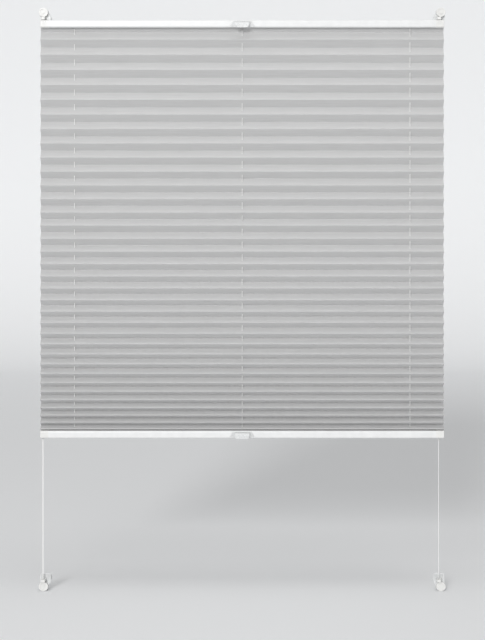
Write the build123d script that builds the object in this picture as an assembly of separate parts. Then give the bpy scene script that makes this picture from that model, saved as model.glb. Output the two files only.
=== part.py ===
from build123d import *
from math import cos, radians, sin
import os

# A pleated blind clamped on a window sash, free to move from both ends: two slim rails carry a pleated
# cloth between them, and three tight cords run through both rails and the cloth to four clamp brackets.
# Millimetres. X runs across the blind, Y into the room's wall (the sash's room-side face is y = 0, so the
# blind hangs at negative y) and Z up. The origin is on the sash's top edge, in the middle of the blind.

# --- driving dimensions -------------------------------------------------------------------------------
SASH_HEIGHT = 1128.0
SASH_THICKNESS = 18.0
BLIND_WIDTH = 800.0
TOP_RAIL_TOP = -10.0
BOTTOM_RAIL_TOP = -823.5

# rails
RAIL_HEIGHT = 15.0
RAIL_DEPTH = 21.0
RAIL_Y = -15.0
RAIL_WALL = 1.2
RAIL_SLOT = 6.0
RAIL_FRONT_RADIUS = 3.0
RAIL_BACK_RADIUS = 1.2
CAP_LENGTH = 16.0
CAP_PLUG = 10.0
CAP_WALL = 2.0
CAP_GROOVES = (5.0, 10.0)
STRIP_HALF_WIDTH = 4.5
STRIP_THICKNESS = 1.2
GUIDE_HALF_LENGTH = 7.0
GUIDE_HEIGHT = 3.0

# cloth
PLEAT_FACE = 20.0
PLEATS = 34
CLOTH_THICKNESS = 0.3
CLOTH_GAP = 0.4
SET_ANGLE = 15.0
PULL_STEP = 1.5
HOLE_RADIUS = 1.6

# cords
CORD_DIAMETER = 1.2
LEFT_SHOE_X = 395.3
RIGHT_SHOE_X = 390.9
CORD_SPACING = 1.8
COLUMN_X = 333.0
LANE_STEP = 1.6
CORD_TURN = 4.0
KNOT_RADIUS = 1.1
KNOT_Z = -4.9

# clamp brackets
BRACKET_X = 391.0
BRACKET_WIDTH = 20.0
BRACKET_DROP = 19.0
BRACKET_GROOVES = (-8.0, -5.0, 5.0, 8.0)
GROOVE_WIDTH = 1.4
GROOVE_DEPTH = 1.0
PLATE_THICKNESS = 3.0
PAD_THICKNESS = 1.0
KNOB_X = 395.0
KNOB_Z = 6.5
KNOB_RADIUS = 9.4
KNOB_THICKNESS = 8.0
KNOB_FLUTES = 12
FLUTE_RADIUS = 1.2
DISH_RADIUS = 6.6
DISH_DEPTH = 1.4
HUB_RADIUS = 3.0
HEAD_RADIUS = 8.8
SCREW_RADIUS = 2.0
SCREW_LENGTH = 39.0
SCREW_SET = 2.8
HOOD_REACH = 9.5
HOOD_TOP = 12.0
HOOD_HALF_WIDTH = 8.8
TONGUE_SIDE = (4.0, 7.5)
TONGUE_Z = (4.5, 8.5)
TONGUE_PLAY = 0.3
JAW_HEAD_RADIUS = 7.8
JAW_DROP = 12.0
BOSS_RADIUS = 5.0
BOSS_LENGTH = 5.0
PAD_HALF_WIDTH = 8.0
PAD_CORNER = 1.5
SHOE_TOP = -3.2
SHOE_HALF_WIDTH = 4.2
SHOE_FRONT = -20.0
SHOE_RIB = 1.4
SHOE_HOOK = 1.0

# handles
WING_HALF_WIDTH = 26.0
WING_TOP_HALF_WIDTH = 18.0
WING_HEIGHT = 11.5
WING_THICKNESS = 2.0
LIP_WIDTH = 29.0
LIP_LENGTH = 21.0
LIP_CORNER = 7.0
LIP_HALF_THICKNESS = 0.9
LIP_REACH = 8.5
LIP_BEND = 4.0

# --- what follows from them ---------------------------------------------------------------------------
PLATE_FRONT = -PAD_THICKNESS - PLATE_THICKNESS
KNOB_BACK = PLATE_FRONT - 0.8
KNOB_FRONT = KNOB_BACK - KNOB_THICKNESS
SCREW_FRONT = KNOB_FRONT + SCREW_SET
JAW_FRONT = SASH_THICKNESS + PAD_THICKNESS
JAW_BACK = JAW_FRONT + PLATE_THICKNESS
GUIDE_FRONT = PLATE_FRONT - 4.0
GUIDE_HOOK = PLATE_FRONT - 2.6
RAIL_HALF = BLIND_WIDTH / 2 - CAP_LENGTH
RAIL_BOTTOM = TOP_RAIL_TOP - RAIL_HEIGHT
RAIL_FACE = RAIL_Y - RAIL_DEPTH / 2
PLUG_HALF = RAIL_HALF - CAP_PLUG
SLOT_Y = (RAIL_Y - RAIL_SLOT / 2, RAIL_Y + RAIL_SLOT / 2)
STRIP_Y = (RAIL_Y - STRIP_HALF_WIDTH, RAIL_Y + STRIP_HALF_WIDTH)
STRIP_BOTTOM = RAIL_BOTTOM + RAIL_WALL + 0.5
STRIP_TOP = STRIP_BOTTOM + STRIP_THICKNESS
LEFT_LANE = RAIL_Y - LANE_STEP
RIGHT_LANE = RAIL_Y + LANE_STEP
TOP_LANE_Z = TOP_RAIL_TOP - RAIL_HEIGHT / 2
BOTTOM_LANE_Z = BOTTOM_RAIL_TOP - RAIL_HEIGHT / 2
COLUMNS = [(-COLUMN_X, RIGHT_LANE), (0.0, RAIL_Y), (COLUMN_X, LEFT_LANE)]


def block(x, y, z):
    """A box from (low, high) pairs along each axis."""
    size = [high - low for low, high in (x, y, z)]
    middle = [(high + low) / 2 for low, high in (x, y, z)]
    return Pos(*middle) * Box(*size)


def rod_y(x, z, radius, y):
    """A cylinder along Y, between the two values of y."""
    return Pos(x, sum(y) / 2, z) * Rot(90, 0, 0) * Cylinder(radius, y[1] - y[0])


def rod_z(x, y, radius, z):
    """A cylinder along Z, between the two values of z."""
    return Pos(x, y, sum(z) / 2) * Cylinder(radius, z[1] - z[0])


def upright(part):
    """The edges of a part that run along Z."""
    return part.edges().filter_by(Axis.Z)


def along_y(part):
    """The edges of a part that run along Y."""
    return part.edges().filter_by(Axis.Y)


# --- clamp bracket, drawn for the upper right corner --------------------------------------------------
def front_outline(drop, head_radius):
    """A plate that hangs from a round head: the head is centred on the screw, above the sash's edge."""
    low, high = -drop, -3.0
    middle = (low + high) / 2
    plate = Pos(BRACKET_X, middle) * Rectangle(BRACKET_WIDTH, high - low)
    head = Pos(KNOB_X, KNOB_Z) * Circle(head_radius)
    return make_hull(plate.edges() + head.edges())


def slab(outline, y):
    """An outline drawn in X and Z, given a thickness along Y."""
    return Pos(0, y[1], 0) * extrude(Plane.XZ * outline, amount=y[1] - y[0])


def tongues(play, y):
    """Two bars, one on each side of the screw, that the jaw slides on, made larger all round by play."""
    near, far = TONGUE_SIDE[0] - play, TONGUE_SIDE[1] + play
    z = (TONGUE_Z[0] - play, TONGUE_Z[1] + play)
    left = block((KNOB_X - far, KNOB_X - near), y, z)
    return left + block((KNOB_X + near, KNOB_X + far), y, z)


def shoe_guide(shoe_x):
    """Two hooked ribs and a sill on the plate's front, which hold the cord shoe."""
    z = (TOP_RAIL_TOP + 0.4, SHOE_TOP - 0.2)
    inside = SHOE_HALF_WIDTH + 0.1
    outside = inside + SHOE_RIB
    sill = (z[0], z[0] + 1)
    part = block((shoe_x - outside, shoe_x + outside), (GUIDE_FRONT, PLATE_FRONT), sill)
    for side in (-1, 1):
        rib = sorted((shoe_x + side * inside, shoe_x + side * outside))
        hook = sorted((shoe_x + side * (inside - SHOE_HOOK), shoe_x + side * inside))
        part += block(rib, (GUIDE_FRONT, PLATE_FRONT), z)
        part += block(hook, (GUIDE_FRONT, GUIDE_HOOK), z)
    return part


def bracket(shoe_x):
    """The clear body: plate on the sash's face, hood over its edge, guide for the cord shoe."""
    part = slab(front_outline(BRACKET_DROP, HEAD_RADIUS), (PLATE_FRONT, -PAD_THICKNESS))
    sides = (KNOB_X - HOOD_HALF_WIDTH, KNOB_X + HOOD_HALF_WIDTH)
    hood = block(sides, (-PAD_THICKNESS, HOOD_REACH), (1.0, HOOD_TOP))
    part += fillet(along_y(hood).group_by(Axis.Z)[-1], 3.0)
    part -= tongues(TONGUE_PLAY, (PLATE_FRONT, HOOD_REACH))
    part -= rod_y(KNOB_X, KNOB_Z, SCREW_RADIUS + 0.25, (PLATE_FRONT, HOOD_REACH))
    groove_y = (PLATE_FRONT, PLATE_FRONT + GROOVE_DEPTH)
    groove_z = (1.5 - BRACKET_DROP, TOP_RAIL_TOP - 0.6)
    for aside in BRACKET_GROOVES:
        x = BRACKET_X + aside
        part -= block((x - GROOVE_WIDTH / 2, x + GROOVE_WIDTH / 2), groove_y, groove_z)
    return part + shoe_guide(shoe_x)


def knob():
    """A fluted disc with a ring-shaped dish in its face, pressed on the screw."""
    part = rod_y(KNOB_X, KNOB_Z, KNOB_RADIUS, (KNOB_FRONT, KNOB_BACK))
    part = fillet(part.edges(), 0.8)
    dish_y = (KNOB_FRONT, KNOB_FRONT + DISH_DEPTH)
    part -= rod_y(KNOB_X, KNOB_Z, DISH_RADIUS, dish_y) - rod_y(KNOB_X, KNOB_Z, HUB_RADIUS, dish_y)
    flute_at = KNOB_RADIUS + 0.5
    for turn in range(KNOB_FLUTES):
        angle = radians(360 / KNOB_FLUTES * turn)
        x = KNOB_X + flute_at * cos(angle)
        z = KNOB_Z + flute_at * sin(angle)
        part -= rod_y(x, z, FLUTE_RADIUS, (KNOB_FRONT, KNOB_BACK))
    return part - rod_y(KNOB_X, KNOB_Z, SCREW_RADIUS + 0.02, (SCREW_FRONT - 0.1, KNOB_BACK))


def screw():
    """The clamp screw, from inside the knob to just behind the jaw."""
    part = rod_y(KNOB_X, KNOB_Z, SCREW_RADIUS, (SCREW_FRONT, SCREW_FRONT + SCREW_LENGTH))
    return chamfer(part.edges().group_by(Axis.Y)[-1], 0.5)


def jaw():
    """The rear hook: a plate behind the sash, a boss for the screw and two tongues into the hood."""
    part = slab(front_outline(JAW_DROP, JAW_HEAD_RADIUS), (JAW_FRONT, JAW_BACK))
    boss = (JAW_FRONT, JAW_BACK + BOSS_LENGTH)
    part += rod_y(KNOB_X, KNOB_Z, BOSS_RADIUS, boss)
    part += tongues(0, (0, JAW_FRONT))
    return part - rod_y(KNOB_X, KNOB_Z, SCREW_RADIUS + 0.05, boss)


def front_pad():
    """The rubber pad between the plate and the sash's face."""
    x = (BRACKET_X - PAD_HALF_WIDTH, BRACKET_X + PAD_HALF_WIDTH)
    part = block(x, (-PAD_THICKNESS, 0), (2 - BRACKET_DROP, -4.5))
    return fillet(along_y(part), PAD_CORNER)


def rear_pad():
    """The rubber pad between the jaw and the back of the sash's lip."""
    x = (BRACKET_X - PAD_HALF_WIDTH + 1, BRACKET_X + PAD_HALF_WIDTH - 1)
    part = block(x, (SASH_THICKNESS, JAW_FRONT), (1 - JAW_DROP, -2))
    return fillet(along_y(part), PAD_CORNER)


def cord_shoe(shoe_x):
    """The block that holds the knotted cord ends, on a tongue that slides into the bracket's ribs."""
    z = (TOP_RAIL_TOP + 1.4, SHOE_TOP)
    body_back, neck_back = GUIDE_FRONT - 0.2, GUIDE_HOOK + 0.2
    neck, foot = SHOE_HALF_WIDTH - SHOE_HOOK - 0.1, SHOE_HALF_WIDTH - 0.1
    body = block((shoe_x - SHOE_HALF_WIDTH, shoe_x + SHOE_HALF_WIDTH), (SHOE_FRONT, body_back), z)
    part = fillet(upright(body).group_by(Axis.Y)[0], 2.0)
    part += block((shoe_x - neck, shoe_x + neck), (body_back - 0.1, neck_back), z)
    part += block((shoe_x - foot, shoe_x + foot), (neck_back, PLATE_FRONT - 0.1), z)
    passage = (RAIL_Y - 2.6, RAIL_Y + 2.6)
    pocket = (RAIL_Y - 3.4, RAIL_Y + 3.4)
    part -= block((shoe_x - 1.8, shoe_x + 1.8), passage, z)
    return part - block((shoe_x - 2.6, shoe_x + 2.6), pocket, (KNOT_Z - 1.3, SHOE_TOP))


# --- rail, drawn for the top: the cloth leaves it downwards --------------------------------------------
def rail_section(inset):
    """The rail's outline across X, drawn in from the outside by inset."""
    front = RAIL_FRONT_RADIUS - inset
    back = max(RAIL_BACK_RADIUS - inset, 0.3)
    outline = Rectangle(RAIL_DEPTH - 2 * inset, RAIL_HEIGHT - 2 * inset)
    outline = fillet(outline.vertices().group_by(Axis.X)[0], front)
    return fillet(outline.vertices().group_by(Axis.X)[-1], back)


def rail_bar(section, x):
    """A section in Y and Z, made solid between two values of x."""
    at = Plane(origin=(x[0], RAIL_Y, TOP_LANE_Z), x_dir=(0, 1, 0), z_dir=(1, 0, 0))
    return extrude(at * section, amount=x[1] - x[0])


def rail_profile():
    """The extruded aluminium bar, hollow and open towards the cloth."""
    part = rail_bar(rail_section(0) - rail_section(RAIL_WALL), (-RAIL_HALF, RAIL_HALF))
    return part - block((-RAIL_HALF, RAIL_HALF), SLOT_Y, (RAIL_BOTTOM, RAIL_BOTTOM + RAIL_WALL))


def end_cap(shoe_x):
    """The right-hand cap: a block that ends the rail, a hollow plug inside it, a way in for the cord."""
    part = rail_bar(rail_section(0), (RAIL_HALF, RAIL_HALF + CAP_LENGTH))
    part = fillet(part.faces().sort_by(Axis.X)[-1].edges(), 1.0)
    part += rail_bar(rail_section(RAIL_WALL + 0.1), (PLUG_HALF, RAIL_HALF))
    hollow_x = (PLUG_HALF, RAIL_HALF + CAP_LENGTH - CAP_WALL)
    part -= block(hollow_x, STRIP_Y, (TOP_LANE_Z - 4.2, TOP_LANE_Z + 4.4))
    way_in = (RAIL_Y - 2.8, RAIL_Y + 2.8)
    part -= block((shoe_x - 2.2, shoe_x + 2.2), way_in, (TOP_LANE_Z, TOP_RAIL_TOP))
    groove_y = (RAIL_FACE, RAIL_FACE + 0.6)
    groove_z = (TOP_LANE_Z - 5, TOP_LANE_Z + 5)
    for along in CAP_GROOVES:
        x = RAIL_HALF + along
        part -= block((x - GROOVE_WIDTH / 2, x + GROOVE_WIDTH / 2), groove_y, groove_z)
    return part - block((PLUG_HALF, RAIL_HALF), SLOT_Y, (RAIL_BOTTOM, TOP_LANE_Z))


def cloth_strip():
    """The flat bar inside the rail that the cloth's hem is fixed to, with a hole for each cord."""
    half = PLUG_HALF - 0.5
    part = block((-half, half), STRIP_Y, (STRIP_BOTTOM, STRIP_TOP))
    for x, y in COLUMNS:
        part -= rod_z(x, y, HOLE_RADIUS, (STRIP_BOTTOM, STRIP_TOP))
    return part


def cord_guides():
    """Three small blocks on the strip, each with a flared hole where a cord turns down to the cloth."""
    low = STRIP_TOP + 0.1
    high = low + GUIDE_HEIGHT
    guides = []
    for x, y in COLUMNS:
        guide = block((x - GUIDE_HALF_LENGTH, x + GUIDE_HALF_LENGTH), STRIP_Y, (low, high))
        guide = fillet(upright(guide), 1.5)
        guide -= rod_z(x, y, HOLE_RADIUS, (low, high))
        guides.append(guide - Pos(x, y, high - 0.4) * Cone(HOLE_RADIUS, HOLE_RADIUS + 0.8, 0.8))
    return Compound(guides)


def handle():
    """The clear grip on the rail's front: a flared plate and a curved lip for the fingers."""
    bottom = RAIL_BOTTOM + 1.0
    top = bottom + WING_HEIGHT
    front = RAIL_FACE - WING_THICKNESS
    reach = RAIL_FACE - LIP_REACH
    corners = [(-WING_HALF_WIDTH, bottom), (WING_HALF_WIDTH, bottom)]
    corners += [(WING_TOP_HALF_WIDTH, top), (-WING_TOP_HALF_WIDTH, top)]
    plate = slab(Polygon(*corners, align=None), (front, RAIL_FACE))
    plate = fillet(plate.edges().group_by(Axis.Y)[0], 0.6)
    path = FilletPolyline((front, top - 0.8), (reach, top - 2.5), (reach, bottom - 0.5), radius=LIP_BEND)
    ribbon = make_face(offset(path, amount=LIP_HALF_THICKNESS))
    at = Plane(origin=(-LIP_WIDTH / 2, 0, 0), x_dir=(0, 1, 0), z_dir=(1, 0, 0))
    lip = extrude(at * ribbon, amount=LIP_WIDTH)
    tongue = Pos(0, bottom + 9) * RectangleRounded(LIP_WIDTH, LIP_LENGTH, LIP_CORNER)
    return plate + (lip & slab(tongue, (reach - 2, RAIL_FACE)))


# --- cloth --------------------------------------------------------------------------------------------
def face_angle(pull):
    """The angle in degrees at which a pleat's face hangs, where the crease's stiffness balances the pull."""
    low, high = SET_ANGLE, 89.0
    for _ in range(40):
        angle = (low + high) / 2
        if angle - SET_ANGLE < pull * cos(radians(angle)):
            low = angle
        else:
            high = angle
    return angle


def pleat_angles(first_pull):
    """One angle for each pleat, from the top: the lower a pleat, the less cloth pulls it open."""
    return [face_angle(first_pull - PULL_STEP * n) for n in range(PLEATS)]


def hung_height(angles):
    """How far the cloth hangs: it starts and ends with half a face."""
    whole = sum(2 * PLEAT_FACE * sin(radians(a)) for a in angles)
    ends = PLEAT_FACE / 2 * (sin(radians(angles[0])) - sin(radians(angles[-1])))
    return whole + ends


def settled_angles(height):
    """The pleats' angles once the pull is what makes the cloth exactly that high."""
    low, high = PULL_STEP * PLEATS, 90.0
    for _ in range(40):
        pull = (low + high) / 2
        if hung_height(pleat_angles(pull)) < height:
            low = pull
        else:
            high = pull
    return pleat_angles(pull)


def fold_points(angles, top):
    """Every fold from the top as (y, z, the cloth's level thickness there)."""
    first = radians(angles[0])
    points = [(RAIL_Y, top, CLOTH_THICKNESS / sin(first))]
    z = top - PLEAT_FACE / 2 * sin(first)
    for angle in map(radians, angles):
        reach = PLEAT_FACE / 2 * cos(angle)
        thick = CLOTH_THICKNESS / sin(angle)
        points.append((RAIL_Y + reach, z, thick))
        points.append((RAIL_Y - reach, z - PLEAT_FACE * sin(angle), thick))
        z -= 2 * PLEAT_FACE * sin(angle)
    last = radians(angles[-1])
    end = z + PLEAT_FACE / 2 * sin(last)
    return points + [(RAIL_Y, end, CLOTH_THICKNESS / sin(last))]


def cloth():
    """The pleated cloth as one folded sheet, with its hems in both rails and holes for the cords."""
    top = RAIL_BOTTOM - CLOTH_GAP
    bottom = BOTTOM_RAIL_TOP + CLOTH_GAP
    folds = fold_points(settled_angles(top - bottom), top)
    room_side = [(y - thick / 2, z) for y, z, thick in folds]
    sash_side = [(y + thick / 2, z) for y, z, thick in reversed(folds)]
    at = Plane(origin=(-BLIND_WIDTH / 2, 0, 0), x_dir=(0, 1, 0), z_dir=(1, 0, 0))
    part = extrude(at * Polygon(*room_side, *sash_side, align=None), amount=BLIND_WIDTH)
    hem = (RAIL_Y - CLOTH_THICKNESS / 2, RAIL_Y + CLOTH_THICKNESS / 2)
    half = PLUG_HALF - 1
    part += block((-half, half), hem, (top - 0.1, STRIP_BOTTOM - 0.1))
    part += block((-half, half), hem, (BOTTOM_RAIL_TOP - 1.6, bottom + 0.1))
    for x, y in COLUMNS:
        part -= rod_z(x, y, HOLE_RADIUS, (BOTTOM_RAIL_TOP - 5, TOP_RAIL_TOP))
    return part


# --- cords --------------------------------------------------------------------------------------------
def cord(start_x, column_x, end_x, y):
    """One tight cord: upper bracket, along the top rail, down the cloth, along the bottom rail, bracket."""
    route = [
        (start_x, y, KNOT_Z),
        (start_x, y, TOP_LANE_Z),
        (column_x, y, TOP_LANE_Z),
        (column_x, y, BOTTOM_LANE_Z),
        (end_x, y, BOTTOM_LANE_Z),
        (end_x, y, -SASH_HEIGHT - KNOT_Z),
    ]
    line = FilletPolyline(*route, radius=CORD_TURN)
    part = sweep(Plane(origin=route[0], z_dir=(0, 0, -1)) * Circle(CORD_DIAMETER / 2), path=line)
    print("cord", round(line.length), "mm, turns of radius", CORD_TURN)
    for knot in (route[0], route[-1]):
        part += Pos(*knot) * Sphere(KNOT_RADIUS)
    return part


# --- the whole blind ----------------------------------------------------------------------------------
def write(name, part):
    """Writes one piece to its own file."""
    export_step(part, f"parts/{name}.step")


def write_brackets():
    """Four brackets of seven pieces: the lower ones and the left ones are mirror images."""
    waist = Plane.XY.offset(-SASH_HEIGHT / 2)
    for side, shoe_x in (("left", LEFT_SHOE_X), ("right", RIGHT_SHOE_X)):
        pieces = {
            "bracket": bracket(shoe_x),
            "knob": knob(),
            "screw": screw(),
            "jaw": jaw(),
            "front_pad": front_pad(),
            "rear_pad": rear_pad(),
            "cord_shoe": cord_shoe(shoe_x),
        }
        for name, part in pieces.items():
            placed = part if side == "right" else mirror(part, about=Plane.YZ)
            write(f"top_{side}_{name}", placed)
            write(f"bottom_{side}_{name}", mirror(placed, about=waist))


def write_rails():
    """Two rails of six pieces: the bottom one is the top one turned over."""
    pieces = {
        "rail": rail_profile(),
        "rail_left_cap": mirror(end_cap(LEFT_SHOE_X), about=Plane.YZ),
        "rail_right_cap": end_cap(RIGHT_SHOE_X),
        "cloth_strip": cloth_strip(),
        "cord_guides": cord_guides(),
    }
    between = Plane.XY.offset((TOP_LANE_Z + BOTTOM_LANE_Z) / 2)
    for name, part in pieces.items():
        write(f"top_{name}", part)
        write(f"bottom_{name}", mirror(part, about=between))
    write("top_handle", handle())
    write("bottom_handle", Pos(0, 0, BOTTOM_RAIL_TOP - TOP_RAIL_TOP) * handle())


def main():
    os.makedirs("parts", exist_ok=True)
    write_brackets()
    write_rails()
    write("pleated_cloth", cloth())
    aside = CORD_SPACING / 2
    left, right = -LEFT_SHOE_X - aside, RIGHT_SHOE_X - aside
    write("left_cord", cord(left, COLUMN_X, left, LEFT_LANE))
    write("right_cord", cord(right, -COLUMN_X, right, RIGHT_LANE))
    write("middle_cord", cord(right + CORD_SPACING, 0.0, left + CORD_SPACING, RAIL_Y))


main()
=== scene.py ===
# %% [markdown]
# # A pleated blind, in cells
# The blind is two slim rails with a folded cloth between them, on three tight cords that end in four clamp
# brackets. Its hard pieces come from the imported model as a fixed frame; the cloth, the cords and the screws
# are made here, because cloth and cord have to follow the rails. Everything is in metres, with X across the
# blind, Y into the wall and Z up.

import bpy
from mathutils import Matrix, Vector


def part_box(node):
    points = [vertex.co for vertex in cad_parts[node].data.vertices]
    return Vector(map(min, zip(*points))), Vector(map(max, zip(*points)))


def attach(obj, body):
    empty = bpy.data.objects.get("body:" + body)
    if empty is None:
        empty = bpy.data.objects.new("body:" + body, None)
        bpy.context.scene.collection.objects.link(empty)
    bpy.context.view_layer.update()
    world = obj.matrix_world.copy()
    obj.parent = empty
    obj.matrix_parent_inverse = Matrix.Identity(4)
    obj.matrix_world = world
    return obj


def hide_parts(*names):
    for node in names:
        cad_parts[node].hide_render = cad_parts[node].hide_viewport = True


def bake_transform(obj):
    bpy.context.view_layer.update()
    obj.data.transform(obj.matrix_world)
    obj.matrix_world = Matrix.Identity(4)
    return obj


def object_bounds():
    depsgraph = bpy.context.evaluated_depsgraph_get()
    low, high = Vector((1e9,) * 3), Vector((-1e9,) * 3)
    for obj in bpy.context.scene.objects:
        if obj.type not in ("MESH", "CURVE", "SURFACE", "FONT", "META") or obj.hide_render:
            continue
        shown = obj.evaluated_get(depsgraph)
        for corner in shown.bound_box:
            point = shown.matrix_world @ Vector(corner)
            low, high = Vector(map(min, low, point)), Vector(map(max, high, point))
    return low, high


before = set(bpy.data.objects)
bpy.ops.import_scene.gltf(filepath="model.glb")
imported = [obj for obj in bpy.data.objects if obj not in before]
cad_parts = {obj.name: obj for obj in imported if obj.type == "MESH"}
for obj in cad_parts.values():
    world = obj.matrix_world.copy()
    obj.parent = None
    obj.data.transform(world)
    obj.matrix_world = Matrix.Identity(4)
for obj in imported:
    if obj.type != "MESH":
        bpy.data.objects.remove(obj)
cad_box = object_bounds()
print("pieces in the frame:", len(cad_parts), "box:", cad_box)

# %% Other tools
import math

import bmesh
import bpy
from mathutils import Matrix, Vector

MM = 0.001

# %% [markdown]
# ## Camera
# A blind is looked at straight on, so that its upright lines stay upright. A long lens four metres away
# keeps the pleats alike from top to bottom. The camera stays level at eye height, and the lens is shifted
# down instead of tilted, as on an architect's camera, because a tilt would make the sides lean.

# %% Camera
EYE = (0.0, -4.024, -0.3665)
camera_data = bpy.data.cameras.new("camera")
camera_data.lens = 113.6
camera_data.shift_x = 0.0005
camera_data.shift_y = -0.1875
camera = bpy.data.objects.new("camera", camera_data)
camera.location = EYE
camera.rotation_euler = (math.radians(90), 0, 0)
bpy.context.scene.collection.objects.link(camera)
bpy.context.scene.camera = camera
print("camera", round(-EYE[1], 3), "m in front of the sash")

# %% [markdown]
# ## Backdrop
# White plastic and clear plastic need something pale but not white behind them. A studio uses a sheet of
# paper that runs from the floor up the wall in one sweep, so that no corner shows. One edge across the floor
# is extruded back, then spun up through a quarter turn, then extruded up. The sheet is large and its wall
# is six metres behind the blind, so that a camera behind the blind still stands in front of it.

# %% Colour, and one helper for every shader node
def linear(hex_colour):
    """An sRGB hex colour as the linear numbers that a socket takes."""
    parts = [int(hex_colour[i:i + 2], 16) / 255 for i in (1, 3, 5)]
    return [c / 12.92 if c <= 0.04045 else ((c + 0.055) / 1.055) ** 2.4 for c in parts] + [1.0]


def add_node(tree, kind, props=None, values=None, links=None):
    """Adds a shader node: its own properties, its sockets' values, and what feeds its sockets."""
    made = tree.nodes.new("ShaderNode" + kind)
    for name, value in (props or {}).items():
        setattr(made, name, value)
    for socket, value in (values or {}).items():
        made.inputs[socket].default_value = value
    for socket, source in (links or {}).items():
        tree.links.new(source, made.inputs[socket])
    return made


def new_material(name, colour, roughness, **sockets):
    """A material with one Principled shader, set to a colour, a roughness and any other sockets."""
    material = bpy.data.materials.new(name)
    material.use_nodes = True
    shader = material.node_tree.nodes["Principled BSDF"]
    shader.inputs["Base Color"].default_value = linear(colour)
    shader.inputs["Roughness"].default_value = roughness
    for socket, value in sockets.items():
        shader.inputs[socket.replace("_", " ")].default_value = value
    return material


# %% Backdrop
FLOOR_Z = cad_box[0].z
FLOOR_FRONT = -6.0
WALL_Y = 6.0
WALL_HEIGHT = 3.5
SWEEP_RADIUS = 1.0
HALF_SWEEP = 7.0


def new_object(name, bm, material):
    """A finished mesh as an object at the origin, with its material."""
    mesh = bpy.data.meshes.new(name)
    bm.to_mesh(mesh)
    bm.free()
    made = bpy.data.objects.new(name, mesh)
    bpy.context.scene.collection.objects.link(made)
    mesh.materials.append(material)
    return made


def pull_edges(bm, edges, step):
    """Extrudes edges by a step and gives the new edges."""
    made = bmesh.ops.extrude_edge_only(bm, edges=edges)["geom"]
    verts = [g for g in made if isinstance(g, bmesh.types.BMVert)]
    bmesh.ops.translate(bm, verts=verts, vec=step)
    return [e for e in made if isinstance(e, bmesh.types.BMEdge) and set(e.verts) <= set(verts)]


bm = bmesh.new()
ends = [bm.verts.new((x, FLOOR_FRONT, FLOOR_Z)) for x in (-HALF_SWEEP, HALF_SWEEP)]
front = bm.edges.new(ends)
back = pull_edges(bm, [front], (0, WALL_Y - SWEEP_RADIUS - FLOOR_FRONT, 0))
turned = bmesh.ops.spin(
    bm, geom=back + list(back[0].verts), cent=(0, WALL_Y - SWEEP_RADIUS, FLOOR_Z + SWEEP_RADIUS),
    axis=(1, 0, 0), angle=math.radians(90), steps=16)["geom_last"]
pull_edges(bm, [g for g in turned if isinstance(g, bmesh.types.BMEdge)], (0, 0, WALL_HEIGHT))
for face in bm.faces:
    face.smooth = True
paper = new_material("matt_studio_paper", "#F1F2F3", 0.9)
backdrop = new_object("backdrop", bm, paper)
print("backdrop top", round(max(v.co.z for v in backdrop.data.vertices), 2))

# %% [markdown]
# ## Light
# The blind's look is all in its pleats: each face that looks up is lit from above, and each face that looks
# down only by what comes from the front. So a large softbox hangs over the blind, and a broad, far key light
# comes in low from the front, 16 degrees above level: it falls deep into the open pleats at the top, but
# only on the front edges of the nearly shut ones below. A small near lamp lifts the top, and an even room
# light keeps every other side from going dark.

# %% Light
def area_light(name, place, target, size, power):
    """A square soft lamp at a place, turned to a target."""
    data = bpy.data.lights.new(name, "AREA")
    data.shape = "SQUARE"
    data.size = size
    data.energy = power
    lamp = bpy.data.objects.new(name, data)
    lamp.location = place
    lamp.rotation_euler = (Vector(target) - Vector(place)).to_track_quat("-Z", "Y").to_euler()
    bpy.context.scene.collection.objects.link(lamp)
    print(name, power, "W at", place)


KEY_HEIGHT = 16
KEY_SIDE = 12
KEY_SPREAD = 10
area_light("overhead_softbox", (0, -0.9, 3.2), (0, 0, -0.2), 2.4, 34)
area_light("near_softbox", (-0.5, -2.2, 0.5), (0, 0, -0.55), 0.8, 8)
sun = bpy.data.lights.new("far_key_light", "SUN")
sun.energy = 1.45
sun.angle = math.radians(KEY_SPREAD)
key = bpy.data.objects.new("far_key_light", sun)
key.rotation_euler = (math.radians(90 - KEY_HEIGHT), 0, math.radians(-KEY_SIDE))
bpy.context.scene.collection.objects.link(key)
world = bpy.data.worlds.new("even_room_light")
world.use_nodes = True
world.node_tree.nodes["Background"].inputs["Color"].default_value = linear("#FFFFFF")
world.node_tree.nodes["Background"].inputs["Strength"].default_value = 0.38
bpy.context.scene.world = world
bpy.context.scene.view_settings.view_transform = "Standard"

# %% [markdown]
# ## Moulded plastic
# Knobs, rail caps and cord shoes are white ABS, injection moulded in a spark-eroded steel tool. The tool's
# pitted skin gives a fine even grain that softens every highlight. Two noises do it: a fine one for the
# grain, as bump and as a small change of roughness, and a broad one for the faint shading of thick and thin
# walls. The grain is 0.35 mm, a little coarser than the real 0.1 mm, so that it still shows.

# %% White ABS
def object_noise(tree, size, detail=2.0):
    """A noise on Object coordinates whose blobs are about size metres wide."""
    place = add_node(tree, "TexCoord").outputs["Object"]
    return add_node(
        tree, "TexNoise", values={"Scale": 1 / size, "Detail": detail, "Roughness": 0.55},
        links={"Vector": place}).outputs["Fac"]


def vary_colour(material, factor, dark, light):
    """Runs the base colour from dark to light with a factor that stays near its middle."""
    tree = material.node_tree
    ramp = add_node(tree, "ValToRGB", links={"Fac": factor})
    ramp.color_ramp.elements[0].position = 0.3
    ramp.color_ramp.elements[0].color = linear(dark)
    ramp.color_ramp.elements[1].position = 0.7
    ramp.color_ramp.elements[1].color = linear(light)
    tree.links.new(ramp.outputs["Color"], tree.nodes["Principled BSDF"].inputs["Base Color"])
    return ramp


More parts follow.
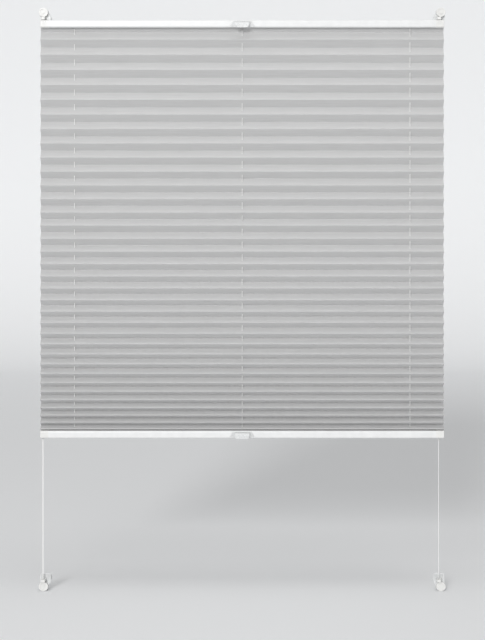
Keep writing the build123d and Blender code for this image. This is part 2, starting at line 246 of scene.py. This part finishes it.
def vary_roughness(material, factor, low, high):
    """Runs the roughness from low to high with a factor."""
    tree = material.node_tree
    spread = add_node(
        tree, "MapRange", values={"From Min": 0.3, "From Max": 0.7, "To Min": low, "To Max": high},
        links={"Value": factor})
    tree.links.new(spread.outputs["Result"], tree.nodes["Principled BSDF"].inputs["Roughness"])


def raise_surface(material, height, depth):
    """Bumps the surface by a height of 0 to 1, depth metres deep."""
    tree = material.node_tree
    bump = add_node(tree, "Bump", values={"Strength": 1.0, "Distance": depth}, links={"Height": height})
    tree.links.new(bump.outputs["Normal"], tree.nodes["Principled BSDF"].inputs["Normal"])


def moulded(name, dark, light, roughness, grain, depth, **sockets):
    """Moulded plastic: a colour that drifts over 15 mm, and a fine grain in roughness and bump."""
    material = new_material(name, light, roughness, **sockets)
    tree = material.node_tree
    vary_colour(material, object_noise(tree, 15 * MM), dark, light)
    fine = object_noise(tree, grain)
    vary_roughness(material, fine, roughness - 0.06, roughness + 0.06)
    raise_surface(material, fine, depth)
    return material


white_abs = moulded("white_moulded_abs", "#DFDFDD", "#E6E6E4", 0.38, 0.35 * MM, 0.01 * MM, IOR=1.54)
print("made", white_abs.name)

# %% [markdown]
# ## Clear moulded plastic
# The brackets, jaws and grips are clear polycarbonate. Thick clear mouldings never look like window glass:
# light scatters in them, so they read as frosted and milky. So the shader lets only a part of the light
# through, at polycarbonate's index of 1.58, with enough roughness to blur what is behind.

# %% Clear polycarbonate
clear_pc = moulded(
    "frosted_clear_polycarbonate", "#EEF0F0", "#F6F7F7", 0.3, 0.8 * MM, 0.002 * MM,
    IOR=1.585, Transmission_Weight=0.3)
print("made", clear_pc.name)

# %% [markdown]
# ## Powder-coated aluminium
# The rails are extruded, then sprayed with white polyester powder and baked. The powder melts to a skin with
# a soft gloss and a very low orange peel, with waves of 1 to 2 mm. Paint hides the metal, so the shader is
# not metallic; a thin coat layer gives the second, sharper highlight of baked paint.

# %% Powder coat
powder_coat = moulded(
    "powder_coated_aluminium", "#E2E3E3", "#E8E9E9", 0.34, 1.4 * MM, 0.02 * MM,
    IOR=1.5, Coat_Weight=0.25, Coat_Roughness=0.18)
print("made", powder_coat.name)

# %% [markdown]
# ## Rubber and zinc
# The clamp pads are soft silicone rubber, matt and slightly grey, with the fine texture of a pressed sheet.
# The screw is steel with a bright zinc plate: a metal, so its colour is that of its highlight, and its
# roughness changes in spots a millimetre or so wide where the plating grew.

# %% Rubber and zinc
soft_rubber = moulded("pressed_silicone_rubber", "#CFD1D2", "#D9DBDB", 0.75, 0.3 * MM, 0.02 * MM, IOR=1.41)
zinc = new_material("zinc_plated_steel", "#C4C7CA", 0.3, Metallic=1.0)
vary_colour(zinc, object_noise(zinc.node_tree, 1.2 * MM), "#B4B8BC", "#D2D4D6")
vary_roughness(zinc, object_noise(zinc.node_tree, 0.8 * MM), 0.22, 0.42)
raise_surface(zinc, object_noise(zinc.node_tree, 0.15 * MM), 0.003 * MM)
print("made", soft_rubber.name, "and", zinc.name)

# %% [markdown]
# ## Give the hard pieces their finishes
# Each hard piece keeps the shape that it was packed with. Only its material is exchanged.

# %% Finishes by name
FINISHES = {
    "bracket": clear_pc,
    "jaw": clear_pc,
    "handle": clear_pc,
    "knob": white_abs,
    "cord_shoe": white_abs,
    "cap": white_abs,
    "cord_guides": white_abs,
    "cloth_strip": white_abs,
    "screw": zinc,
    "pad": soft_rubber,
    "rail": powder_coat,
}
for name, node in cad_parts.items():
    ending = next((e for e in FINISHES if name.endswith(e)), None)
    if ending:
        node.data.materials.clear()
        node.data.materials.append(FINISHES[ending])
print("finished", sum(any(n.endswith(e) for e in FINISHES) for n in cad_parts), "pieces")

# %% [markdown]
# ## The cloth's folds
# The cloth is one sheet of polyester, pressed into 34 pleats with faces 20 mm wide. Each crease is treated
# as a weak spring that wants to close to a set angle, and the cloth's own weight pulls it open. The top
# pleats carry all the cloth below them and stand open at about 50 degrees; the lowest lie nearly shut. So
# the angle of each pleat is found from its pull, and the pull from the height between the rails. The set
# angle and the step in pull were chosen so that the folds lie where they should; they weren't measured.

# %% Where the folds are
TOP_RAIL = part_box("top_rail")
BOTTOM_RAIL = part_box("bottom_rail")
RAIL_Y = (TOP_RAIL[0].y + TOP_RAIL[1].y) / 2
CLOTH_GAP = 0.4 * MM
PLEAT_FACE = 20.0 * MM
PLEATS = 34
SET_ANGLE = 15.0
PULL_STEP = 1.5
CLOTH_TOP = TOP_RAIL[0].z - CLOTH_GAP
CLOTH_BOTTOM = BOTTOM_RAIL[1].z + CLOTH_GAP


def between(low, high, too_low):
    """The value between low and high at which too_low stops being true."""
    for _ in range(40):
        middle = (low + high) / 2
        low, high = (middle, high) if too_low(middle) else (low, middle)
    return middle


def face_angle(pull):
    """The angle in degrees at which a pleat's face hangs under a pull."""
    return between(SET_ANGLE, 89.0, lambda a: a - SET_ANGLE < pull * math.cos(math.radians(a)))


def pleat_angles(first_pull):
    """The angle of each pleat, from the top."""
    return [math.radians(face_angle(first_pull - PULL_STEP * n)) for n in range(PLEATS)]


def hung_height(angles):
    """How far the cloth hangs: it starts and ends with half a face."""
    ends = PLEAT_FACE / 2 * (math.sin(angles[0]) - math.sin(angles[-1]))
    return sum(2 * PLEAT_FACE * math.sin(a) for a in angles) + ends


height = CLOTH_TOP - CLOTH_BOTTOM
pull = between(PULL_STEP * PLEATS, 90.0, lambda p: hung_height(pleat_angles(p)) < height)
angles = pleat_angles(pull)
folds = [(RAIL_Y, CLOTH_TOP)]
z = CLOTH_TOP - PLEAT_FACE / 2 * math.sin(angles[0])
for angle in angles:
    reach = PLEAT_FACE / 2 * math.cos(angle)
    folds += [(RAIL_Y + reach, z), (RAIL_Y - reach, z - PLEAT_FACE * math.sin(angle))]
    z -= 2 * PLEAT_FACE * math.sin(angle)
folds.append((RAIL_Y, CLOTH_BOTTOM))
print(len(folds), "folds, angles", [round(math.degrees(a)) for a in angles[::11]])

# %% [markdown]
# ## Pleated polyester
# The cloth is a close plain weave of fine polyester yarn, stiffened so that it takes a crease. Its threads
# are about 0.3 mm apart, too fine to draw, so they are drawn 0.9 mm apart. The yarn is slubby: some threads
# are thicker, which gives faint streaks across the sheet. The pattern reads the cloth's own UV map, which is
# laid out in metres along the sheet, so it runs over the folds as a real weave does. A little sheen stands
# for the loose fibre ends that catch light from the side. The cloth is taken to be slightly translucent, so
# some light goes in, scatters over half a millimetre and comes out, which softens the shade in the pleats.

# %% Cloth material
THREAD = 0.9 * MM
cloth_grey = new_material(
    "pleated_woven_polyester", "#C7C7C7", 0.82, Sheen_Weight=0.15, Sheen_Roughness=0.5,
    Specular_IOR_Level=0.25, Subsurface_Weight=0.4, Subsurface_Radius=(1.0, 1.0, 1.0),
    Subsurface_Scale=0.5 * MM)
tree = cloth_grey.node_tree
sheet_place = add_node(tree, "UVMap", {"uv_map": "sheet"}).outputs["UV"]


def threads(direction):
    """Rows of threads along one direction of the sheet, as a height."""
    return add_node(
        tree, "TexWave", {"wave_type": "BANDS", "bands_direction": direction, "wave_profile": "SIN"},
        {"Scale": 2 * math.pi / 20 / THREAD, "Distortion": 0.6, "Detail": 1.0, "Detail Scale": 1.5},
        {"Vector": sheet_place}).outputs["Fac"]


weave = add_node(
    tree, "Math", {"operation": "MULTIPLY"}, links={0: threads("X"), 1: threads("Y")}).outputs["Value"]
streak_place = add_node(
    tree, "Mapping", values={"Scale": (1 / (60 * MM), 1 / (1.5 * MM), 1)}, links={"Vector": sheet_place})
slubs = add_node(
    tree, "TexNoise", values={"Scale": 1.0, "Detail": 3.0, "Roughness": 0.6},
    links={"Vector": streak_place.outputs["Vector"]}).outputs["Fac"]
vary_colour(cloth_grey, slubs, "#C3C3C3", "#CCCCCC")
vary_roughness(cloth_grey, slubs, 0.78, 0.88)
surface = add_node(
    tree, "Math", {"operation": "MULTIPLY_ADD"}, {1: 0.5}, {0: slubs, 2: weave}).outputs["Value"]
raise_surface(cloth_grey, surface, 0.05 * MM)
print("threads", round(THREAD / MM, 2), "mm apart")

# %% [markdown]
# ## Folding the sheet
# A folded sheet is best made as it is pleated: lay one edge along the rail, then pull it out fold by fold.
# The creases are then bevelled to a small radius, because no cloth creases to a knife edge. Where a cord
# goes through, the square of cloth between two creases is poked, and a bevel of its middle point opens it to
# a round punched hole. The thickness comes last, from a Solidify modifier.
#
# Each rail takes the cloth with it when it slides, and there are two rails. So the sheet is modelled in two
# lengths that meet at one crease: the upper one between the top rail and that crease, and the lower one
# between the crease and the bottom rail. Neither length is tied to its rail here. With both rails at rest
# they are one sheet.

# %% Sheet tools
HALF_WIDTH = 400.0 * MM
HEM_HALF_WIDTH = 373.0 * MM
HEM_DEPTH = 2.0 * MM
CREASE_RADIUS = 0.7 * MM
HOLE_RADIUS = 1.6 * MM
CLOTH_THICKNESS = 0.3 * MM
LANE_STEP = 1.6 * MM
LEFT_LANE = RAIL_Y - LANE_STEP
RIGHT_LANE = RAIL_Y + LANE_STEP
COLUMN_X = 333 * MM
COLUMNS = [(-COLUMN_X, RIGHT_LANE), (0.0, RAIL_Y), (COLUMN_X, LEFT_LANE)]
HALF_SQUARE = PLEAT_FACE / 2 - CREASE_RADIUS


def folded_sheet(points):
    """A sheet that follows points (y, z), divided across so that each cord's column has its squares."""
    cuts = [x + side * HALF_SQUARE for x, _ in COLUMNS for side in (-1, 1)]
    cuts = sorted(cuts + [-HALF_WIDTH, -HEM_HALF_WIDTH, HEM_HALF_WIDTH, HALF_WIDTH])
    bm = bmesh.new()
    row = [bm.verts.new((x, *points[0])) for x in cuts]
    edges = [bm.edges.new(pair) for pair in zip(row, row[1:])]
    for (y, z), (next_y, next_z) in zip(points, points[1:]):
        edges = pull_edges(bm, edges, (0, next_y - y, next_z - z))
    creases = [e for e in bm.edges if e.is_manifold and e.calc_face_angle(0) > math.radians(10)]
    bmesh.ops.bevel(
        bm, geom=creases, affect="EDGES", offset=CREASE_RADIUS, segments=3, profile=0.5, material=-1)
    return bm


def punch_holes(bm):
    """Opens a round hole in each pleat face at each cord's column."""
    whole_face = 0.9 * PLEAT_FACE * 2 * HALF_SQUARE * 0.9
    for x, y in COLUMNS:
        in_column = [f for f in bm.faces if abs(f.calc_center_median().x - x) < 1e-5]
        squares = [f for f in in_column if f.calc_area() > whole_face]
        middles = bmesh.ops.poke(bm, faces=squares)["verts"]
        for v in middles:
            slope = v.link_faces[0].normal
            v.co.z -= slope.y / slope.z * (y - v.co.y)
            v.co.y = y
        hole = bmesh.ops.bevel(
            bm, geom=middles, affect="VERTICES", offset=HOLE_RADIUS, segments=4, profile=0.5, material=-1)
        bmesh.ops.delete(bm, geom=[f for f in hole["faces"] if len(f.verts) > 8], context="FACES_ONLY")


def lay_uv(bm, points):
    """Writes each point's place on the flat sheet, in metres, as the sheet's UV map."""
    runs = [0.0]
    for a, b in zip(points, points[1:]):
        runs.append(runs[-1] + math.dist(a, b))
    layer = bm.loops.layers.uv.new("sheet")
    place = {}
    for v in bm.verts:
        n = next((i for i in range(1, len(points)) if points[i][1] <= v.co.z + 1e-7), len(points) - 1)
        share = (points[n - 1][1] - v.co.z) / (points[n - 1][1] - points[n][1])
        place[v] = (v.co.x + HALF_WIDTH, runs[n - 1] + share * (runs[n] - runs[n - 1]))
    for face in bm.faces:
        for loop in face.loops:
            loop[layer].uv = place[loop.vert]
    return runs[-1]


def blend_evenly(obj):
    """Bakes the object's placement into its mesh; it makes no blend between bodies."""
    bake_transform(obj)


# %% Two lengths of one sheet
FIXED_FOLD = 28
FIXED_Z = folds[FIXED_FOLD][1]
upper_points = [(RAIL_Y, CLOTH_TOP + HEM_DEPTH)] + folds[:FIXED_FOLD + 1]
lower_points = folds[FIXED_FOLD:] + [(RAIL_Y, CLOTH_BOTTOM - HEM_DEPTH)]
for name, points, rail in (
        ("pleated_cloth_upper", upper_points, "top_rail"),
        ("pleated_cloth_lower", lower_points, "bottom_rail")):
    bm = folded_sheet(points)
    outside = [
        f for f in bm.faces if abs(f.calc_center_median().x) > HEM_HALF_WIDTH
        and not CLOTH_BOTTOM < f.calc_center_median().z < CLOTH_TOP]
    bmesh.ops.delete(bm, geom=outside, context="FACES")
    punch_holes(bm)
    run = lay_uv(bm, points)
    bmesh.ops.reverse_faces(bm, faces=bm.faces)
    sheet = new_object(name, bm, cloth_grey)
    end_z = CLOTH_TOP if rail == "top_rail" else CLOTH_BOTTOM
    blend_evenly(sheet)
    thickness = sheet.modifiers.new("thickness", "SOLIDIFY")
    thickness.thickness = CLOTH_THICKNESS
    thickness.offset = 0
    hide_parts("pleated_cloth")
    print(name, "cut length", round(run, 3), "m,", len(sheet.data.polygons), "faces")

# %% [markdown]
# ## Braided cord
# The cords are 1.2 mm braided polyester, white. A braid is two sets of strands that wind round the cord
# opposite ways, over and under each other. The tube's UV map has the way round in one direction and metres
# along the cord in the other, so two crossing waves on it give the diamond pattern.

# %% Cord material
STRAND = 0.9 * MM
cord_white = new_material("braided_polyester_cord", "#F8F8F7", 0.6, Sheen_Weight=0.1, Sheen_Roughness=0.4)
tree = cord_white.node_tree
cord_place = add_node(tree, "UVMap", {"uv_map": "cord"}).outputs["UV"]
strands = []
for turn in (1, -1):
    slanted = add_node(
        tree, "Mapping", values={"Scale": (4.0, 1 / STRAND, 1)}, links={"Vector": cord_place})
    mixed = add_node(
        tree, "VectorMath", {"operation": "DOT_PRODUCT"}, {1: (turn, 1, 0)}, {0: slanted.outputs["Vector"]})
    strands.append(add_node(
        tree, "Math", {"operation": "PINGPONG"}, {1: 0.5}, {0: mixed.outputs["Value"]}).outputs["Value"])
braid = add_node(
    tree, "Math", {"operation": "MAXIMUM"}, links={0: strands[0], 1: strands[1]}).outputs["Value"]
vary_colour(cord_white, braid, "#EFEFEE", "#FCFCFB")
vary_roughness(cord_white, braid, 0.5, 0.7)
raise_surface(cord_white, braid, 0.06 * MM)

# %% [markdown]
# ## Cords
# Three cords carry the blind, and each runs from an upper bracket through the top rail, down one column of
# holes and through the bottom rail to a lower bracket. The outer cords are taken to cross over inside the
# rails, as is usual, to keep the blind level. Each is made as a ring pulled along a smooth spline. A cord
# changes body three times on its way, so it is made in stretches: one rides in each rail, the knots stay with
# the root, and those outside are tied to no body.

# %% Cord tools
CORD_RADIUS = 0.6 * MM
CORD_SIDES = 10


def spline_points(route):
    """Points along the smooth spline that a route's points control."""
    curve = bpy.data.curves.new("route", "CURVE")
    curve.dimensions = "3D"
    spline = curve.splines.new("NURBS")
    spline.points.add(len(route) - 1)
    for point, co in zip(spline.points, route):
        point.co = (*co, 1)
    spline.order_u = 3
    spline.use_endpoint_u = True
    spline.resolution_u = 6
    holder = bpy.data.objects.new("route", curve)
    mesh = bpy.data.meshes.new_from_object(holder)
    points = [v.co.copy() for v in mesh.vertices]
    bpy.data.objects.remove(holder)
    bpy.data.curves.remove(curve)
    bpy.data.meshes.remove(mesh)
    return points


def cord_length(points):
    """The length of a line of points."""
    return sum((b - a).length for a, b in zip(points, points[1:]))


def cord_piece(name, route):
    """A tube along a route, with a UV map of turns round it and metres along it."""
    points = spline_points(route)
    bm = bmesh.new()
    along = bm.verts.layers.float.new("along")
    heading = (points[1] - points[0]).normalized()
    facing = Matrix.Translation(points[0]) @ heading.to_track_quat("Z", "Y").to_matrix().to_4x4()
    ring = bmesh.ops.create_circle(bm, segments=CORD_SIDES, radius=CORD_RADIUS, matrix=facing)["verts"]
    around = {v: n for n, v in enumerate(ring)}
    edges = list({e for v in ring for e in v.link_edges})
    run = 0.0
    for n in range(1, len(points)):
        step = points[n] - points[n - 1]
        run += step.length
        last = n == len(points) - 1
        onward = (points[n] - points[n - 1] if last else points[n + 1] - points[n - 1]).normalized()
        before = [v for e in edges for v in e.verts]
        edges = pull_edges(bm, edges, step)
        ring = list({v for e in edges for v in e.verts})
        for v in ring:
            v[along] = run
            old = next(e.other_vert(v) for e in v.link_edges if e.other_vert(v) in around and e not in edges)
            around[v] = around[old]
        turn = heading.rotation_difference(onward).to_matrix()
        bmesh.ops.rotate(bm, verts=ring, cent=points[n], matrix=turn)
        heading = onward
    layer = bm.loops.layers.uv.new("cord")
    for face in bm.faces:
        numbers = [around[loop.vert] for loop in face.loops]
        wraps = max(numbers) - min(numbers) > 1
        for loop, number in zip(face.loops, numbers):
            whole = CORD_SIDES if wraps and number == 0 else number
            loop[layer].uv = (whole / CORD_SIDES, loop.vert[along])
        face.smooth = True
    bmesh.ops.holes_fill(bm, edges=[e for e in bm.edges if e.is_boundary])
    bmesh.ops.recalc_face_normals(bm, faces=bm.faces)
    made = new_object(name, bm, cord_white)
    return made, cord_length(points)


# %% Three cords
LEFT_X = -396.2 * MM
RIGHT_X = 390.0 * MM
CORD_SPACING = 1.8 * MM
TOP_LANE_Z = (TOP_RAIL[0].z + TOP_RAIL[1].z) / 2
BOTTOM_LANE_Z = (BOTTOM_RAIL[0].z + BOTTOM_RAIL[1].z) / 2
KNOT_Z = -4.9 * MM
SASH_HEIGHT = 1128.0 * MM
TURN_ARM = 6.0 * MM
RAIL_MOUTH = 7.0 * MM
CORDS = {
    "left_cord": (LEFT_X, COLUMN_X, LEFT_X, LEFT_LANE),
    "right_cord": (RIGHT_X, -COLUMN_X, RIGHT_X, RIGHT_LANE),
    "middle_cord": (RIGHT_X + CORD_SPACING, 0.0, LEFT_X + CORD_SPACING, RAIL_Y),
}


def rail_route(outer_x, column_x, y, lane_z, out):
    """The way through a rail: in from the bracket's side, along the lane, out at a column of holes."""
    side = math.copysign(TURN_ARM, column_x - outer_x)
    return [
        (outer_x, y, lane_z + out * RAIL_MOUTH),
        (outer_x, y, lane_z + out * TURN_ARM),
        (outer_x, y, lane_z),
        (outer_x + side, y, lane_z),
        ((outer_x + column_x) / 2, y, lane_z),
        (column_x - side, y, lane_z),
        (column_x, y, lane_z),
        (column_x, y, lane_z - out * TURN_ARM),
        (column_x, y, lane_z - out * RAIL_MOUTH),
    ]


# A small overhand knot, in millimetres from where it sits: in from below, twice round, out at the top.
KNOT = [
    (0, 0, -0.6), (0.1, 0, 0), (0.9, 0.5, 0.1), (0.5, -0.9, 0.3), (-0.9, -0.5, 0.4), (-0.6, 0.8, 0.3),
    (0.6, 0.9, 0.6), (0.9, -0.3, 0.9), (0, -0.5, 0.8), (-0.1, 0, 1.1), (0, 0.1, 1.6),
]


def straight_route(x, y, start_z, end_z):
    """A straight stretch, with points enough to stretch evenly."""
    return [(x, y, start_z + (end_z - start_z) * n / 4) for n in range(5)]


for cord, (start_x, column_x, end_x, y) in CORDS.items():
    top_mouth, top_exit = TOP_LANE_Z + RAIL_MOUTH, TOP_LANE_Z - RAIL_MOUTH
    low_entry, low_mouth = BOTTOM_LANE_Z + RAIL_MOUTH, BOTTOM_LANE_Z - RAIL_MOUTH
    low_knot = -SASH_HEIGHT - KNOT_Z
    total = 0.0
    for part, rail, x, start_z, end_z in (
            ("top_run", "top_rail", start_x, KNOT_Z, top_mouth),
            ("upper_column", "top_rail", column_x, FIXED_Z, top_exit),
            ("lower_column", "bottom_rail", column_x, FIXED_Z, low_entry),
            ("bottom_run", "bottom_rail", end_x, low_knot, low_mouth)):
        piece, length = cord_piece(f"{cord}_{part}", straight_route(x, y, start_z, end_z))
        blend_evenly(piece)
        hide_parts(cord)
        total += length
    for rail, outer_x, lane_z, out in (
            ("top_rail", start_x, TOP_LANE_Z, 1), ("bottom_rail", end_x, BOTTOM_LANE_Z, -1)):
        piece, length = cord_piece(f"{cord}_in_{rail}", rail_route(outer_x, column_x, y, lane_z, out))
        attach(piece, rail)
        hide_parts(cord)
        total += length
    for level, x, z, out in (("top", start_x, KNOT_Z, 1), ("bottom", end_x, low_knot, -1)):
        route = [(x + a * MM, y + b * MM, z + out * c * MM) for a, b, c in KNOT]
        piece, length = cord_piece(f"{cord}_{level}_knot", route)
        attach(piece, "root")
        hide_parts(cord)
    print(cord, round(total, 3), "m")

# %% [markdown]
# ## Clamp screws
# Each clamp is closed by an M4 machine screw, whose thread climbs 0.7 mm at each turn. A thread is one tooth
# that is spun round the axis while it also moves along it: after a full turn the tooth's end lies on the
# next tooth's start, and merging the doubles joins them. The ends are then cut square and filled.

# %% Threaded screws
PITCH = 0.7 * MM
TURN_STEPS = 14
THREAD_DEPTH = 0.35 * MM


def threaded_rod(low, high):
    """A threaded rod along Y that fills the box from low to high."""
    x, z = (low.x + high.x) / 2, (low.z + high.z) / 2
    crest = (high.x - low.x) / 2
    turns = math.ceil((high.y - low.y) / PITCH) + 2
    tooth = [(crest - THREAD_DEPTH, 0), (crest, 0.42), (crest, 0.58), (crest - THREAD_DEPTH, 1)]
    bm = bmesh.new()
    verts = [bm.verts.new((x + r, low.y + (share - 2) * PITCH, z)) for r, share in tooth]
    edges = [bm.edges.new(pair) for pair in zip(verts, verts[1:])]
    bmesh.ops.spin(
        bm, geom=verts + edges, cent=(x, 0, z), axis=(0, 1, 0), dvec=(0, PITCH / TURN_STEPS, 0),
        angle=math.tau * turns, steps=TURN_STEPS * turns, use_merge=False)
    bmesh.ops.remove_doubles(bm, verts=bm.verts, dist=0.001 * MM)
    for y, outward in ((low.y, -1), (high.y, 1)):
        everything = bm.verts[:] + bm.edges[:] + bm.faces[:]
        bmesh.ops.bisect_plane(
            bm, geom=everything, plane_co=(x, y, z), plane_no=(0, outward, 0), clear_outer=True)
        rim = [e for e in bm.edges if e.is_boundary and abs(e.verts[0].co.y - y) < 1e-6]
        bmesh.ops.holes_fill(bm, edges=rim)
    bmesh.ops.recalc_face_normals(bm, faces=bm.faces)
    return bm


for node in sorted(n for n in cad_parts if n.endswith("_screw")):
    bm = threaded_rod(*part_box(node))
    print(node, len(bm.faces), "faces,", sum(e.is_boundary for e in bm.edges), "open edges")
    screw = new_object(node + "_threaded", bm, zinc)
    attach(screw, node.replace("_screw", "_clamp_screw"))
    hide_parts(node)
